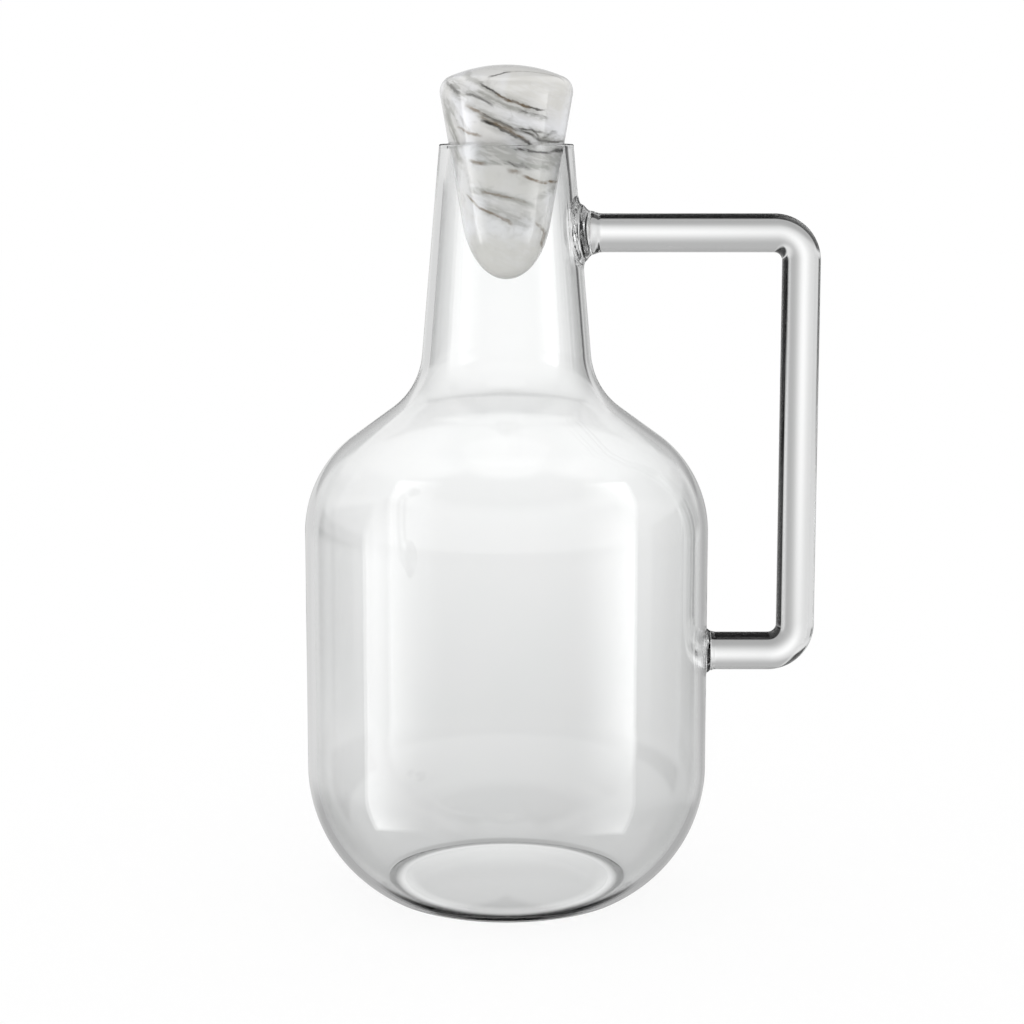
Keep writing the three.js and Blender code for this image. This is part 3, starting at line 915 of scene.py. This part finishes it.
def studio_light(graph, x, y, z):
    """Brightness of the studio in a direction."""
    elevation = graph.math("ARCSINE", z) / DEGREE
    aside = graph.math("ARCTAN2", x, y) / DEGREE
    round_front = graph.math("WRAP", aside, 360, 0)
    path = graph.node("ShaderNodeLightPath").socket.node.outputs
    mirrored = Wire(graph, path["Is Reflection Ray"])
    in_glass = mirrored * Wire(graph, path["Is Singular Ray"])

    light = ROOM_LEVEL
    for card in BACKDROP:
        light = laid_over(graph, light, aside, elevation, card)
    off_centre = (aside * aside + (elevation - BACK_GLOW["rise"]) ** 2) ** 0.5
    light = mixed(light, BACK_GLOW["level"], graph.bump_of(off_centre, BACK_GLOW["spread"]))
    for card in FRONT:
        light = laid_over(graph, light, round_front, elevation, card)
    light = laid_over(graph, light, aside, elevation, OVERHEAD)
    strips = between(graph, graph.math("ABSOLUTE", x), STRIPS["inner"], STRIPS["outer"], STRIPS["soft"])
    strips = strips * graph.around(z, STRIPS["low"], STRIPS["low soft"]) * graph.step(y, *STRIPS_FADE)
    light = light + strips * STRIPS["level"]
    light = light + side_panel(graph, aside, elevation, LEFT_PANEL)
    light = light + side_panel(graph, aside, elevation, RIGHT_PANEL)
    for card in DARK_THROUGH:
        light = laid_over(graph, light, aside, elevation, card, 1 - mirrored)
    for card in DARK_MIRRORED:
        light = laid_over(graph, light, aside, elevation, card, in_glass)
    for card in (GROUND, DARK_GROUND):
        light = laid_over(graph, light, aside, elevation, card)
    crossings = Wire(graph, path["Transmission Depth"])
    unmirrored = graph.math("LESS_THAN", Wire(graph, path["Glossy Depth"]), HALF_COUNT)
    rod = graph.math("COMPARE", crossings, ROD_CROSSINGS, HALF_COUNT) * unmirrored
    light = mixed(light, ROD_EDGE["level"], rod * rod_edge(graph, aside, elevation))
    straight = graph.math("COMPARE", crossings, WALL_CROSSINGS, HALF_COUNT) * unmirrored
    beside = graph.step(graph.math("ABSOLUTE", aside), CLEAR_VIEW["start"], CLEAR_VIEW["end"])
    return mixed(light, CLEAR_VIEW["level"], straight * beside)


def ray_kinds(graph):
    """Whether a ray comes straight from the eye, whether glass or polish has just turned it, and whether it
    has met no matt surface on its way."""
    path = graph.node("ShaderNodeLightPath").socket.node.outputs
    seen = Wire(graph, path["Is Camera Ray"])
    polished, refracted = Wire(graph, path["Is Glossy Ray"]), Wire(graph, path["Is Transmission Ray"])
    bent = graph.math("MAXIMUM", polished, refracted)
    direct = graph.math("LESS_THAN", Wire(graph, path["Diffuse Depth"]), HALF_COUNT)
    return seen, bent, direct


def studio_world():
    """White round the whole scene for the eye, with the panels and dark ground of a studio in the glass."""
    world = bpy.data.worlds.new("studio")
    bpy.context.scene.world = world
    world.use_nodes = True
    world.node_tree.nodes.clear()
    graph = Graph(world.node_tree)
    x, y, z = graph.split(graph.node("ShaderNodeTexCoord"))
    seen, bent, direct = ray_kinds(graph)
    soft = (1 - SIDE_LOSS * x) * (1 + (GLASS_LOSS - 1) * bent)
    shown = mixed(soft, studio_light(graph, x, y, z), bent * direct)
    sky = graph.node("ShaderNodeBackground", inputs={"Color": WHITE, "Strength": mixed(shown, 1, seen)})
    put_out(graph, sky, "ShaderNodeOutputWorld")


def pale_floor():
    """A white floor that keeps a faint shadow of the object. Glass shows it only close to the base, where it
    glows with painted shade under the base and a painted ring of light in front.
    """
    material, graph = new_material("pale_floor")
    x, y, _ = graph.split(graph.node("ShaderNodeTexCoord", output="Object"))
    seen, bent, _ = ray_kinds(graph)
    reach = ((x - AXIS_X) ** 2 + y ** 2) ** 0.5
    far = graph.step(reach, PAINTED_FLOOR_NEAR_BASE["radius"], PAINTED_FLOOR_NEAR_BASE["radius"] + PAINTED_FLOOR_NEAR_BASE["fade"])
    lit = graph.node("ShaderNodeBsdfDiffuse", inputs={"Color": WHITE})
    # Painted ring of light on the floor, in front of the base, as the glass shows it
    painted_light_ring = graph.around(reach, PAINTED_FLOOR_NEAR_BASE["ring"], PAINTED_FLOOR_NEAR_BASE["ring soft"])
    painted_light_ring = painted_light_ring * graph.around(y, 0, -PAINTED_FLOOR_NEAR_BASE["ring front"])
    # Painted shade under the base, lighter towards the back, as the glass shows it
    middle = PAINTED_FLOOR_NEAR_BASE["level"] + PAINTED_FLOOR_NEAR_BASE["rise"] * y
    glow = mixed(mixed(middle, PAINTED_FLOOR_NEAR_BASE["painted ring level"], painted_light_ring), 1, seen)
    bright = graph.node("ShaderNodeEmission", inputs={"Color": WHITE, "Strength": glow})
    # Glass sees only the painted light and shade, while the eye sees white with a faint real shadow
    share = seen * (1 - FLOOR_SHADOW) + bent
    shown = graph.node("ShaderNodeMixShader", inputs={0: share, 1: lit, 2: bright})
    clear = graph.node("ShaderNodeBsdfTransparent")
    put_out(graph, graph.node("ShaderNodeMixShader", inputs={0: bent * far, 1: shown, 2: clear}))
    half = FLOOR_SIDE / 2
    corners = [(-half, -half, 0), (half, -half, 0), (half, half, 0), (-half, half, 0)]
    mesh = bpy.data.meshes.new("floor")
    mesh.from_pydata(corners, [], [(0, 1, 2, 3)])
    mesh.materials.append(material)
    floor = bpy.data.objects.new("floor", mesh)
    bpy.context.scene.collection.objects.link(floor)


def camera():
    lens = bpy.data.cameras.new("camera")
    lens.sensor_width = SENSOR_WIDTH
    lens.lens = CAMERA_LENS
    eye = bpy.data.objects.new("camera", lens)
    eye.location = CAMERA_PLACE
    eye.rotation_euler = (math.pi / 2 - CAMERA_DIP, 0, 0)
    bpy.context.scene.collection.objects.link(eye)
    bpy.context.scene.camera = eye


def light_bounces():
    """Light that is reflected many times inside a solid rod still comes out."""
    cycles = bpy.context.scene.cycles
    cycles.max_bounces = MOST_BOUNCES
    cycles.glossy_bounces = GLASS_BOUNCES
    cycles.transmission_bounces = GLASS_BOUNCES


bpy.context.scene.view_settings.view_transform = "Standard"
camera()
studio_world()
pale_floor()
light_bounces()
blown_glass(clear_glass())
marble_stopper(marble())
